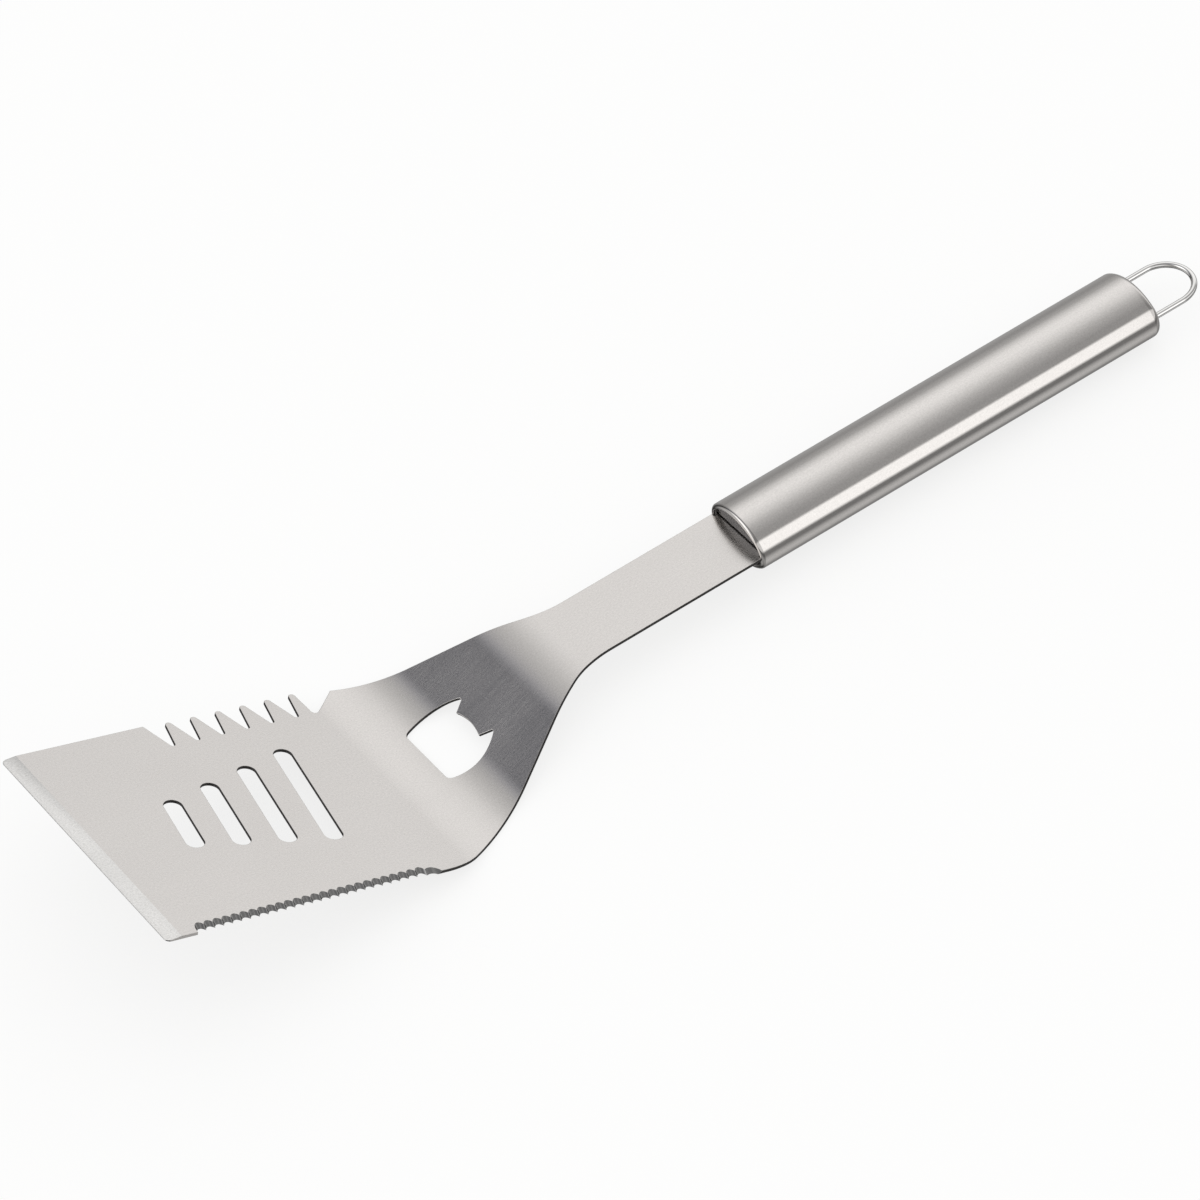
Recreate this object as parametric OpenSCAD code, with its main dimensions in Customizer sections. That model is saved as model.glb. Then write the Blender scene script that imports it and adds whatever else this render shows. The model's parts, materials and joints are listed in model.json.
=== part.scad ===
// Grill spatula with a bottle opener in its neck, a saw-toothed side, a serrated
// side and a hollow oval handle. It lies the way it rests on a table: on its heel
// and on the rear of the handle, with the front edge of the blade in the air.

/* [Blade] */
// Width of the blade across its front edge
blade_w = 105; // [95:1:115]
// Length of the flat of the blade, from its front edge to the first bend
blade_l = 114.6; // [112:0.1:118]
// Thickness of the steel sheet
sheet_t = 1.2; // [1:0.1:1.6]
// Radius of the two front corners
corner_r = 2; // [1:0.5:5]
// Length of the ground bevel along the front edge
bevel_l = 5.5; // [3:0.5:8]
// Thickness left at the front edge
bevel_t = 0.35; // [0.2:0.05:0.8]

/* [Saw teeth] */
// Number of teeth on the left side
tooth_count = 6; // [4:1:6]
// Distance from tooth to tooth
tooth_pitch = 9.63; // [9:0.01:9.8]
// Distance from the front edge to the first gap
first_gap_x = 57.9; // [56:0.1:60]
// Distance from the edge line of the blade to the tooth tips
tip_inset = 0.8; // [0.4:0.1:1.5]
// Distance from the edge line of the blade to the bottom of a gap
gap_depth = 13.2; // [11:0.1:15]
// Radius of a tooth tip
tip_r = 1.2; // [0.8:0.1:1.6]
// Radius at the bottom of a gap
gap_r = 0.9; // [0.5:0.1:1.3]

/* [Serrated side] */
// Number of ground scallops on the right side
scallop_count = 26; // [10:1:26]
// Distance from scallop to scallop
scallop_pitch = 3.34; // [3:0.01:3.4]
// Distance from the front edge to the first scallop
scallop_x = 12; // [10:0.5:14]
// Radius of the grinding wheel that cuts a scallop
scallop_r = 2.25; // [2:0.05:2.6]
// Slope of a scallop down to the cutting edge, in degrees
scallop_slope = 32; // [28:1:38]
// Distance from the edge line to the deepest point of a scallop on the top face
scallop_inset = 4.5; // [4:0.1:5]
// Radius of the longer hollow that ends the row
runout_r = 5; // [4:0.5:6]
// Distance from the edge line to the deepest point of that hollow
runout_inset = 3.1; // [2.5:0.1:3.5]

/* [Slots] */
// Number of drain slots
slot_count = 4; // [2:1:4]
// Distance from the front edge to the middle of the first slot
slot_x = 38; // [34:0.5:40]
// Distance from slot to slot
slot_pitch = 15.85; // [14:0.05:16]
// Length of the shortest slot, nearest to the front edge
slot_l = 26.5; // [20:0.5:30]
// How much longer each slot is than the one in front of it
slot_growth = 8.3; // [4:0.1:9]
// Width of a slot
slot_w = 6.5; // [5:0.1:8]
// Slant of the slots across the blade, in degrees
slot_slant = 10.5; // [0:0.5:14]

/* [Bottle opener] */
// Developed distance from the front edge to the front of the cut-out
opener_s = 132.3; // [131:0.1:134]
// Length of the cut-out, to the tips of its two ears
opener_l = 22; // [21:0.1:23]
// Greatest width of the cut-out
opener_w = 30.2; // [29:0.1:32]
// Width of the lip that lifts the cap
lip_w = 13.6; // [12:0.1:15]
// Length of the ears beside the lip
ear_l = 4.3; // [3.5:0.1:5]
// Radius of the bowed sides
side_bow_r = 20.5; // [19:0.5:22]
// Radius of the two front corners of the cut-out
opener_corner_r = 2.5; // [2:0.1:3]

/* [Neck and shank] */
// Angle of the neck above the blade, in degrees
neck_angle = 44.5; // [40:0.5:48]
// Angle of the shank and the handle above the blade, in degrees
shank_angle = 21.9; // [18:0.1:24]
// Middle radius of the bend between the blade and the neck
bend1_r = 44; // [38:0.5:48]
// Middle radius of the bend between the neck and the shank
bend2_r = 51.9; // [45:0.1:56]
// Length of the flat of the neck between the two bends
neck_l = 22.3; // [18:0.1:26]
// Length of the straight shank in front of the handle
shank_l = 71.8; // [60:0.1:90]
// Width of the shank
shank_w = 29; // [26:0.1:29]
// Developed distance from the front edge to the corners of the shoulders
shoulder_s = 113.6; // [113:0.1:114]
// Radius of the shoulders
shoulder_r = 25; // [20:1:26]
// Developed distance from the front edge to the narrow end of the neck
taper_end_s = 192.8; // [190:0.1:194]
// Radius where the neck runs into the shank
taper_r = 40; // [20:1:44]
// Width of the tang, which starts at the front rim of the handle
tang_w = 26; // [14:0.5:26]
// Length of the tang behind the front plate
tang_l = 28; // [15:1:40]

/* [Handle] */
// Width of the handle
handle_w = 30.8; // [30.8:0.1:32]
// Height of the handle
handle_h = 21.2; // [20.4:0.1:22]
// Length of the tube, without its end cap
tube_l = 159.5; // [120:0.5:200]
// Thickness of the tube wall, the front plate and the end cap
wall_t = 0.8; // [0.6:0.1:0.8]
// Outer radius of the turned-in front rim of the tube
rim_r = 1.4; // [1.2:0.1:1.6]
// Depth of the front plate behind the front rim
plate_inset = 1.6; // [1.6:0.1:3]
// Gap round the tang in the slit of the front plate
slit_gap = 0.8; // [0.2:0.1:0.8]
// Length of the end cap
cap_l = 9; // [8:0.5:14]
// Outer radius round the end of the cap
cap_r = 3; // [2:0.1:3]

/* [Hanging loop] */
// Diameter of the wire
wire_d = 2.2; // [2:0.1:3]
// Distance between the middles of the two legs
loop_w = 21.2; // [16:0.1:22]
// Length of the straight legs outside the end cap
leg_l = 12; // [6:0.5:20]
// Length of the legs inside the end cap
leg_inside = 8; // [5:0.5:12]

/* [Hidden] */
$fn = 96;

steel = [0.78, 0.77, 0.75];
polished = [0.88, 0.88, 0.88];
dull = [0.45, 0.44, 0.43];

// Longer than the reach of any cut or outline, deeper than any cut in the sheet,
// and how far a cut runs past the edge it opens
reach = 250;
through = 16;
lap = 2;

half_w = blade_w / 2;
half_t = sheet_t / 2;

// Stations of the middle surface of the sheet, in the XZ plane of the tool:
// x runs back from the front edge and z is up from the underside of the blade.
function along(a) = [cos(a), sin(a)];
function above(a) = [-sin(a), cos(a)];
bend1_c = [blade_l, half_t + bend1_r];
neck_start = bend1_c - bend1_r * above(neck_angle);
neck_end = neck_start + neck_l * along(neck_angle);
bend2_c = neck_end - bend2_r * above(neck_angle);
shank_start = bend2_c + bend2_r * above(shank_angle);
shank_end = shank_start + shank_l * along(shank_angle);

// Developed lengths of the same stations
neck_s = blade_l + bend1_r * neck_angle * PI / 180;
bend2_s = neck_s + neck_l;
shank_s = bend2_s + bend2_r * (neck_angle - shank_angle) * PI / 180;

// Slope and place of the middle surface at a developed length s
function slope_at(s) =
    s < blade_l ? 0
    : s < neck_s ? (s - blade_l) / bend1_r * 180 / PI
    : s < bend2_s ? neck_angle
    : s < shank_s ? neck_angle - (s - bend2_s) / bend2_r * 180 / PI
    : shank_angle;
function point_at(s) =
    s < blade_l ? [s, half_t]
    : s < neck_s ? bend1_c - bend1_r * above(slope_at(s))
    : s < bend2_s ? neck_start + (s - neck_s) * along(neck_angle)
    : s < shank_s ? bend2_c + bend2_r * above(slope_at(s))
    : shank_start + (s - shank_s) * along(shank_angle);

// The corner b of an outline a-b-c, rounded to radius r
function unit(v) = v / norm(v);
function corner(a, b, c, r, steps = 10) =
    let (u = unit(a - b), w = unit(c - b), half = acos(u * w) / 2)
    let (mid = b + unit(u + w) * r / sin(half), from = b + u * r / tan(half) - mid)
    let (turn = (u.x * w.y - u.y * w.x > 0 ? -1 : 1) * (180 - 2 * half))
    [for (i = [0:steps]) let (t = turn * i / steps)
        mid + [from.x * cos(t) - from.y * sin(t), from.x * sin(t) + from.y * cos(t)]];
function flip(points) = [for (i = [len(points) - 1:-1:0]) [points[i].x, -points[i].y]];

// A flat of the tool seen from above its own slope: x runs up the slope from the
// station at developed length s, and the children are extruded square to it
module on_slope(s, slope) {
    p = point_at(s);
    translate([p.x, 0, p.y]) rotate([0, -slope, 0]) children();
}

// ---- blade, neck, shank and tang: one stamped sheet ----

bend_steps = 24;
sheet_end = shank_s + shank_l + plate_inset + wall_t + tang_l;
function steps(from, to) = [for (i = [0:bend_steps]) from + (to - from) * i / bend_steps];
section_s = concat([0], steps(blade_l, neck_s), steps(bend2_s, shank_s), [sheet_end]);
function face(side) = [for (s = section_s) point_at(s) + side * half_t * above(slope_at(s))];
function backwards(points) = [for (i = [len(points) - 1:-1:0]) points[i]];

// The sheet from the side: its underside, then its top face from the rear
module side_section() {
    polygon(concat(face(-1), backwards(face(1))));
}

// The outline of the sheet, in a plane that slopes halfway between the blade and
// the neck: straight sides, shoulders, the taper of the neck, and the shank
taper_slope = 30;
function taper_x(s) = (point_at(s) - point_at(neck_s)) * along(taper_slope);
module outline() {
    start = [-reach, half_w];
    shoulder = [taper_x(shoulder_s), half_w];
    waist = [taper_x(taper_end_s), shank_w / 2];
    end = [reach, shank_w / 2];
    side = concat([start], corner(start, shoulder, waist, shoulder_r),
        corner(shoulder, waist, end, taper_r), [end]);
    polygon(concat(side, flip(side)));
}

module both_sides() {
    children();
    mirror([0, 1]) children();
}

// Outside the round of the two front corners
module front_corners() {
    both_sides() difference() {
        translate([-lap, half_w - corner_r]) square(corner_r + lap);
        translate([corner_r, half_w - corner_r]) circle(corner_r);
    }
}

module beside_tang() {
    both_sides() translate([shank_l, tang_w / 2]) square([reach, half_w]);
}

// The gaps between the teeth. A flank touches a tip circle and a gap circle.
tip_y = half_w - tip_inset - tip_r;
gap_y = half_w - gap_depth + gap_r;
half_pitch = tooth_pitch / 2;
tip_to_gap = [half_pitch, gap_y - tip_y];
flank = atan2(tip_to_gap.y, tip_to_gap.x) + acos((tip_r + gap_r) / norm(tip_to_gap));
tip_touch = tip_r * along(flank);
gap_touch = gap_r * along(flank);

// The last gap is rounder than the others and opens out to the shoulder
open_gap_r = 1.4;
open_gap_lead = 2;
open_gap_x = first_gap_x + tooth_count * tooth_pitch - open_gap_lead;
open_slope = 40;

module tooth_gap(x) {
    tip_side = tip_y + tip_touch.y;
    gap_side = gap_y - gap_touch.y;
    half_top = half_pitch - tip_touch.x;
    translate([x, gap_y]) circle(gap_r);
    polygon([[x - half_top, tip_side], [x - gap_touch.x, gap_side],
        [x + gap_touch.x, gap_side], [x + half_top, tip_side]]);
}

module tooth_gaps() {
    top = half_w + lap;
    end_x = open_gap_x + 2 * lap;
    for (i = [0:tooth_count - 1]) tooth_gap(first_gap_x + i * tooth_pitch);
    // the first flank runs on up to the edge of the blade
    lean = (top - gap_y) * tan(flank);
    foot = [first_gap_x - gap_touch.x, gap_y - gap_touch.y];
    polygon([foot - [lean, foot.y - top], foot, [first_gap_x, gap_y], [first_gap_x, top]]);
    // above the teeth, all but their round tips
    above_y = tip_y + tip_touch.y;
    difference() {
        translate([first_gap_x, above_y]) square([end_x - first_gap_x, top - above_y]);
        for (i = [1:tooth_count])
            translate([first_gap_x + (i - 0.5) * tooth_pitch, tip_y]) circle(tip_r);
    }
    open_gap([first_gap_x + (tooth_count - 0.5) * tooth_pitch + tip_touch.x, above_y], [end_x, top]);
}

module open_gap(last_tip, corner) {
    low = [open_gap_x, gap_y - gap_r + open_gap_r];
    exit = low - open_gap_r * above(open_slope);
    rise = (corner.y - exit.y) / sin(open_slope);
    translate(low) circle(open_gap_r);
    polygon([last_tip, low - [open_gap_r, 0], low, exit, exit + rise * along(open_slope), corner]);
}

module slot(length) {
    run = (length - slot_w) / 2;
    square([slot_w, 2 * run], center = true);
    for (side = [-1, 1]) translate([0, side * run]) circle(slot_w / 2);
}

module drain_slots() {
    for (i = [0:slot_count - 1])
        translate([slot_x + i * slot_pitch, 0])
            rotate(-slot_slant) slot(slot_l + i * slot_growth);
}

// Bottle opener, drawn flat: bowed sides, two ears and a hollowed lip between them
widest_x = 8.7;
bow_y = side_bow_r - opener_w / 2;
corner_c = [opener_corner_r,
    sqrt(pow(side_bow_r - opener_corner_r, 2) - pow(widest_x - opener_corner_r, 2)) - bow_y];
module opener_plan() {
    bow_c = [widest_x, -bow_y];
    touch = bow_c + side_bow_r * unit(corner_c - bow_c);
    difference() {
        intersection() {
            bowed_sides();
            union() {
                translate([touch.x, -reach / 2]) square([opener_l - touch.x, reach]);
                translate([0, -corner_c.y]) square([touch.x + lap, 2 * corner_c.y]);
                for (side = [-1, 1])
                    translate([corner_c.x, side * corner_c.y]) circle(opener_corner_r);
            }
        }
        lip_plan();
    }
}

module bowed_sides() {
    intersection() {
        translate([widest_x, bow_y]) circle(side_bow_r, $fn = 240);
        translate([widest_x, -bow_y]) circle(side_bow_r, $fn = 240);
    }
}

lip_x = opener_l - ear_l;
lip_hollow = 1.1;
ear_lean = 30;
module lip_plan() {
    root = lip_w / 2;
    length = ear_l + lap;
    wide = root + length * tan(ear_lean);
    hollow_r = (pow(root, 2) + pow(lip_hollow, 2)) / (2 * lip_hollow);
    translate([lip_x, 0]) difference() {
        polygon([[0, -root], [0, root], [length, wide], [length, -wide]]);
        translate([lip_hollow - hollow_r, 0]) circle(hollow_r, $fn = 240);
    }
}

module opener_cut() {
    centre_s = opener_s + opener_l / 2;
    on_slope(centre_s, slope_at(centre_s)) linear_extrude(through, center = true)
        translate([-opener_l / 2, 0]) opener_plan();
}

// A wedge above the ground bevel of the front edge
module bevel_cut() {
    slope = (sheet_t - bevel_t) / bevel_l;
    top = sheet_t + lap;
    rotate([90, 0, 0]) linear_extrude(reach, center = true)
        polygon([[-lap, bevel_t - lap * slope], [bevel_l, sheet_t], [bevel_l, top], [-lap, top]]);
}

// One scallop: a wheel that runs down and out to the cutting edge
module scallop_cut(i, inset, radius) {
    translate([scallop_x + (i + 0.5) * scallop_pitch, inset - half_w, sheet_t])
        rotate([90 + scallop_slope, 0, 0]) translate([0, radius, 0])
            cylinder(r = radius, h = through, center = true, $fn = 48);
}

module scallops() {
    for (i = [0:scallop_count - 1]) scallop_cut(i, scallop_inset, scallop_r);
    scallop_cut(scallop_count, runout_inset, runout_r);
}

module blade() {
    color(steel) at_rest() difference() {
        intersection() {
            rotate([90, 0, 0]) linear_extrude(reach, center = true) side_section();
            on_slope(neck_s, taper_slope) linear_extrude(reach, center = true) outline();
        }
        linear_extrude(through, center = true) {
            front_corners();
            tooth_gaps();
            drain_slots();
        }
        on_slope(shank_s, shank_angle) linear_extrude(through, center = true) beside_tang();
        opener_cut();
        bevel_cut();
        scallops();
    }
}

// ---- handle: an oval tube made of four arcs ----

// The oval lies in the XY plane, its width along Y, and the tube runs along Z.
// Its side and crown arcs meet on the lines through their centres, which slope 3 in 4.
arc_gap = (handle_w - handle_h) / 0.8;
side_c = 0.6 * arc_gap;
crown_c = 0.8 * arc_gap;
side_r = handle_h / 2 - 0.2 * arc_gap;
crown_r = side_r + arc_gap;

// The oval, drawn in by an inset
module oval(inset) {
    for (side = [-1, 1]) translate([0, side * side_c]) circle(side_r - inset);
    crown_lens(inset, side_c + 0.6 * (side_r - inset));
}

module crown_lens(inset, half_y) {
    intersection() {
        translate([crown_c, 0]) circle(crown_r - inset, $fn = 240);
        translate([-crown_c, 0]) circle(crown_r - inset, $fn = 240);
        square([reach, 2 * half_y], center = true);
    }
}

// Sweeps a profile round the oval. In the profile x is the distance in from the
// outer surface, at most side_r, and y is the distance along the tube.
module round_oval() {
    ray = [64, 48];
    for (side = [-1, 1]) {
        side_wedge = [[0, side * side_c], [ray.x, side * (side_c + ray.y)],
            [0, side * reach], [-ray.x, side * (side_c + ray.y)]];
        crown_wedge = [[-side * crown_c, 0], [side * (ray.x - crown_c), -ray.y],
            [side * reach, 0], [side * (ray.x - crown_c), ray.y]];
        intersection() {
            translate([0, side * side_c, 0]) rotate_extrude() inward(side_r) children();
            linear_extrude(reach) polygon(side_wedge);
        }
        intersection() {
            translate([-side * crown_c, 0, 0]) rotate_extrude($fn = 240) inward(crown_r) children();
            linear_extrude(reach) polygon(crown_wedge);
        }
    }
}

module inward(radius) {
    translate([radius, 0]) mirror([1, 0]) children();
}

// Puts a tube that runs along Z onto the end of the shank
module on_handle() {
    translate([shank_end.x, 0, shank_end.y]) rotate([0, 90 - shank_angle, 0]) children();
}

// Arcs of a profile, round the origin: a quarter turn and a half turn
function quarter(radius, n = 12) =
    [for (i = [0:n]) radius * [-cos(90 * i / n), sin(90 * i / n)]];
function half_turn(radius, n = 8) =
    [for (i = [0:n]) radius * [sin(180 * i / n), -cos(180 * i / n)]];

// The front rim is turned in and ends in a round lip
module handle_tube() {
    rim_c = [rim_r, rim_r];
    lip_c = [rim_r, wall_t / 2];
    outside = [for (p = quarter(rim_r)) rim_c + [p.x, -p.y]];
    lip = [for (p = half_turn(wall_t / 2)) lip_c + p];
    inside = [for (p = quarter(rim_r - wall_t)) rim_c + [p.x, -p.y]];
    profile = concat([[0, tube_l]], outside, lip, backwards(inside), [[wall_t, tube_l]]);
    color(steel) at_rest() on_handle() round_oval() polygon(profile);
}

module front_plate() {
    slit = [sheet_t, tang_w] + 2 * [slit_gap, slit_gap];
    color(dull) at_rest() on_handle() translate([0, 0, plate_inset])
        linear_extrude(wall_t) difference() {
            oval(wall_t);
            square(slit, center = true);
        }
}

// Beads behind the front plate: round its rim, and above and below the tang
bead = 1.2;
module front_welds() {
    behind = plate_inset + wall_t;
    color(dull) at_rest() on_handle() {
        round_oval() polygon([[wall_t, behind], [wall_t + bead, behind], [wall_t, behind + bead]]);
        for (side = [0, 180]) rotate(side) translate([half_t, 0, behind]) rotate([90, 0, 0])
            linear_extrude(tang_w - 2 * bead, center = true) polygon([[0, 0], [bead, 0], [0, bead]]);
    }
}

// A drawn cup with a rounded end. The rim of its flat is swept round with the
// rounding, and a plate fills the middle.
module end_cap() {
    end = tube_l + cap_l;
    leg_gap = 0.1;
    bend_c = [cap_r, end - cap_r];
    flat_in = (cap_r + side_r) / 2;
    outside = [for (p = quarter(cap_r)) bend_c + p];
    inside = [for (p = quarter(cap_r - wall_t)) bend_c + p];
    profile = concat([[0, tube_l]], outside, [[flat_in, end], [flat_in, end - wall_t]],
        backwards(inside), [[wall_t, tube_l]]);
    color(steel) at_rest() on_handle() difference() {
        union() {
            round_oval() polygon(profile);
            translate([0, 0, end - wall_t]) linear_extrude(wall_t) oval((cap_r + flat_in) / 2);
        }
        for (side = [-1, 1]) translate([0, side * loop_w / 2, tube_l])
            cylinder(d = wire_d + leg_gap, h = cap_l + lap, $fn = 48);
    }
}

loop_mid = tube_l + cap_l + leg_l;
module hanging_loop() {
    inside_z = tube_l + cap_l - leg_inside;
    color(polished) at_rest() on_handle() {
        for (side = [-1, 1]) translate([0, side * loop_w / 2, inside_z])
            cylinder(d = wire_d, h = loop_mid - inside_z, $fn = 48);
        translate([0, 0, loop_mid]) rotate([0, -90, 0]) rotate(-90)
            rotate_extrude(angle = 180) translate([loop_w / 2, 0]) circle(d = wire_d, $fn = 48);
    }
}

// Beads inside the end cap: one round each leg of the loop, and one round the seam
module rear_welds() {
    inner = tube_l + cap_l - wall_t;
    leg_bead = 0.7;
    color(dull) at_rest() on_handle() {
        for (side = [-1, 1]) translate([0, side * loop_w / 2, inner - bead]) difference() {
            cylinder(d1 = wire_d + leg_bead, d2 = wire_d + 2 * leg_bead, h = bead, $fn = 48);
            cylinder(d = wire_d, h = reach, center = true, $fn = 48);
        }
        round_oval() polygon([[wall_t, tube_l - bead], [wall_t + bead / 2, tube_l],
            [wall_t, tube_l + bead]]);
    }
}

// ---- how the tool rests ----

// The underside of the first bend and the rounded rear of the handle both touch
// the table, so the tool tips back by the slope of their common tangent
heel_c = bend1_c;
heel_r = bend1_r + half_t;
function handle_point(z) = shank_end + z * along(shank_angle);
rear_c = handle_point(tube_l + cap_l - cap_r) - (handle_h / 2 - cap_r) * above(shank_angle);
rear_v = rear_c - heel_c;
tilt = atan2(rear_v.y, rear_v.x) - asin((cap_r - heel_r) / norm(rear_v));
table_z = -heel_c.x * sin(tilt) + heel_c.y * cos(tilt) - heel_r;
loop_c = handle_point(loop_mid);
rear_x = loop_c * along(tilt) + loop_w / 2 * cos(tilt - shank_angle) + wire_d / 2;

module at_rest() {
    translate([-rear_x / 2, 0, -table_z]) rotate([0, tilt, 0]) children();
}

blade();
front_plate();
front_welds();
handle_tube();
end_cap();
hanging_loop();
rear_welds();
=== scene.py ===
"""Looks of the grill spatula: finer meshes of the sheet, tube, cap and wire loop, brushed and
polished steel, a pale floor, soft studio light and the camera."""
import json
import math

import bmesh
import bpy
import numpy as np
from mathutils import Matrix, Vector
from mathutils.geometry import delaunay_2d_cdt

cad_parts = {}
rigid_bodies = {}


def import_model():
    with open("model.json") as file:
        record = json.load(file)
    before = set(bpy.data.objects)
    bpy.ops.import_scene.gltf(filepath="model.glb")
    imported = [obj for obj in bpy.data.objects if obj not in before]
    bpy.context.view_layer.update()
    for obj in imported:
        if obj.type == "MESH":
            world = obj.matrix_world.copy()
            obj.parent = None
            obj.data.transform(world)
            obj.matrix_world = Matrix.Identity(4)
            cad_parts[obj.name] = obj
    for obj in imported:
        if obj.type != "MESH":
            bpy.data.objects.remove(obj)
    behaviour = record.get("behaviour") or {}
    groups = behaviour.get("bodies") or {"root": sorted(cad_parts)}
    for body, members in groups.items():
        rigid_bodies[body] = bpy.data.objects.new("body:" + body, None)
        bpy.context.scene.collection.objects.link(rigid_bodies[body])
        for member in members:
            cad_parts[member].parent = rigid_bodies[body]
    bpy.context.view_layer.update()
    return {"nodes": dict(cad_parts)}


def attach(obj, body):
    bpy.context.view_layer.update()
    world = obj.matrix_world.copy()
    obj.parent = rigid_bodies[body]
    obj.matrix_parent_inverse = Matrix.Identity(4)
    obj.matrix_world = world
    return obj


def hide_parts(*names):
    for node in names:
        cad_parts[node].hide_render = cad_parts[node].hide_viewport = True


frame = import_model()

MM = 0.001

# ---- sizes of the part, in millimetres and degrees, the same as in the CAD source ----

# Blade, with the ground bevel of its front edge
BLADE_W = 105.0
BLADE_L = 114.6
SHEET_T = 1.2
CORNER_R = 2.0
BEVEL_L = 5.5
BEVEL_T = 0.35

# Saw teeth on the left side, and the wider gap that ends them
TEETH = 6
PITCH = 9.63
FIRST_GAP = 57.9
TIP_INSET = 0.8
GAP_DEPTH = 13.2
TIP_R = 1.2
GAP_R = 0.9
OPEN_GAP_R = 1.4
OPEN_SLOPE = 40.0
OPEN_GAP_LEAD = 2.0

# Ground scallops on the right side, and the longer hollow that ends the row
SCALLOPS = 26
SCALLOP_PITCH = 3.34
SCALLOP_X = 12.0
SCALLOP_R = 2.25
SCALLOP_SLOPE = 32.0
SCALLOP_INSET = 4.5
RUNOUT_R = 5.0
RUNOUT_INSET = 3.1

# Slots
SLOTS = 4
SLOT_X = 38.0
SLOT_PITCH = 15.85
SLOT_L = 26.5
SLOT_GROWTH = 8.3
SLOT_W = 6.5
SLANT = 10.5

# Bottle opener
OPENER_S = 132.3
OPENER_L = 22.0
OPENER_W = 30.2
OPENER_CORNER_R = 2.5
SIDE_BOW_R = 20.5
WIDEST_X = 8.7
LIP_W = 13.6
LIP_HOLLOW = 1.1
EAR_L = 4.3
EAR_LEAN = 30.0

# Bends, neck and shank. An S value is a length along the sheet from its front edge
NECK_ANGLE = 44.5
SHANK_ANGLE = 21.9
BEND1_R = 44.0
BEND2_R = 51.9
NECK_L = 22.3
SHANK_L = 71.8
SHANK_W = 29.0
SHOULDER_S = 113.6
SHOULDER_R = 25.0
TAPER_END_S = 192.8
TAPER_R = 40.0
TAPER_SLOPE = 30.0
TANG_W = 26.0
TANG_L = 28.0

# Handle and wire loop
HANDLE_W = 30.8
HANDLE_H = 21.2
TUBE_L = 159.5
WALL_T = 0.8
RIM_R = 1.4
PLATE_INSET = 1.6
CAP_L = 9.0
CAP_R = 3.0
WIRE_D = 2.2
LOOP_W = 21.2
LEG_L = 12.0
LEG_INSIDE = 8.0


def along(deg):
    """The direction at that slope, seen from the side."""
    return np.array([math.cos(math.radians(deg)), math.sin(math.radians(deg))])


def above(deg):
    """The direction square to that slope, on its upper side."""
    return np.array([-math.sin(math.radians(deg)), math.cos(math.radians(deg))])


HALF_W = BLADE_W / 2
HALF_T = SHEET_T / 2
BEND1_C = np.array([BLADE_L, HALF_T + BEND1_R])
NECK_START = BEND1_C - BEND1_R * above(NECK_ANGLE)
NECK_END = NECK_START + NECK_L * along(NECK_ANGLE)
BEND2_C = NECK_END - BEND2_R * above(NECK_ANGLE)
SHANK_START = BEND2_C + BEND2_R * above(SHANK_ANGLE)
SHANK_END = SHANK_START + SHANK_L * along(SHANK_ANGLE)
NECK_S = BLADE_L + BEND1_R * math.radians(NECK_ANGLE)
BEND2_S = NECK_S + NECK_L
SHANK_S = BEND2_S + BEND2_R * math.radians(NECK_ANGLE - SHANK_ANGLE)
SHANK_END_S = SHANK_S + SHANK_L
SHEET_END_S = SHANK_END_S + PLATE_INSET + WALL_T + TANG_L


def slope_at(s):
    """Slope of the sheet at a length along it."""
    if s < BLADE_L:
        return 0.0
    if s < NECK_S:
        return math.degrees((s - BLADE_L) / BEND1_R)
    if s < BEND2_S:
        return NECK_ANGLE
    if s < SHANK_S:
        return NECK_ANGLE - math.degrees((s - BEND2_S) / BEND2_R)
    return SHANK_ANGLE


def point_at(s):
    """Middle of the sheet's thickness at a length along it, as (x, z) with the blade level."""
    if s < BLADE_L:
        return np.array([s, HALF_T])
    if s < NECK_S:
        return BEND1_C - BEND1_R * above(slope_at(s))
    if s < BEND2_S:
        return NECK_START + (s - NECK_S) * along(NECK_ANGLE)
    if s < SHANK_S:
        return BEND2_C + BEND2_R * above(slope_at(s))
    return SHANK_START + (s - SHANK_S) * along(SHANK_ANGLE)


# How the tool rests: on the heel of the first bend and on the rounded rear of the handle
HANDLE_L = TUBE_L + CAP_L
REAR_C = (SHANK_END + (HANDLE_L - CAP_R) * along(SHANK_ANGLE)
          - (HANDLE_H / 2 - CAP_R) * above(SHANK_ANGLE))
HEEL_R = BEND1_R + HALF_T
REAR_V = REAR_C - BEND1_C
TANGENT = math.asin((CAP_R - HEEL_R) / np.hypot(*REAR_V))
TILT = math.degrees(math.atan2(REAR_V[1], REAR_V[0]) - TANGENT)
TABLE_Z = BEND1_C @ above(TILT) - HEEL_R
LOOP_MID = HANDLE_L + LEG_L
LOOP_C = SHANK_END + LOOP_MID * along(SHANK_ANGLE)
LOOP_REACH = LOOP_W / 2 * math.cos(math.radians(TILT - SHANK_ANGLE)) + WIRE_D / 2
REAR_X = LOOP_C @ along(TILT) + LOOP_REACH


def at_rest(x, y, z):
    """A point of the tool, in mm with the blade level, in the row frame in metres."""
    xz = np.array([x, z])
    return Vector(((xz @ along(TILT) - REAR_X / 2) * MM, y * MM, (xz @ above(TILT) - TABLE_Z) * MM))


def on_handle(x, y, z):
    """x up, y left and z along the tube, from the end of the shank."""
    p = SHANK_END + z * along(SHANK_ANGLE) + x * above(SHANK_ANGLE)
    return at_rest(p[0], y, p[1])


# ---- outline of the flat sheet: s runs along it, y is to the left ----

TOOTH_STEP = 10
ON_STRAIGHT_S = 60.0     # any place on the straight side of the blade
S_TABLE = np.linspace(0, SHEET_END_S, 12001)
P_TABLE = np.array([point_at(s) for s in S_TABLE])


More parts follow.
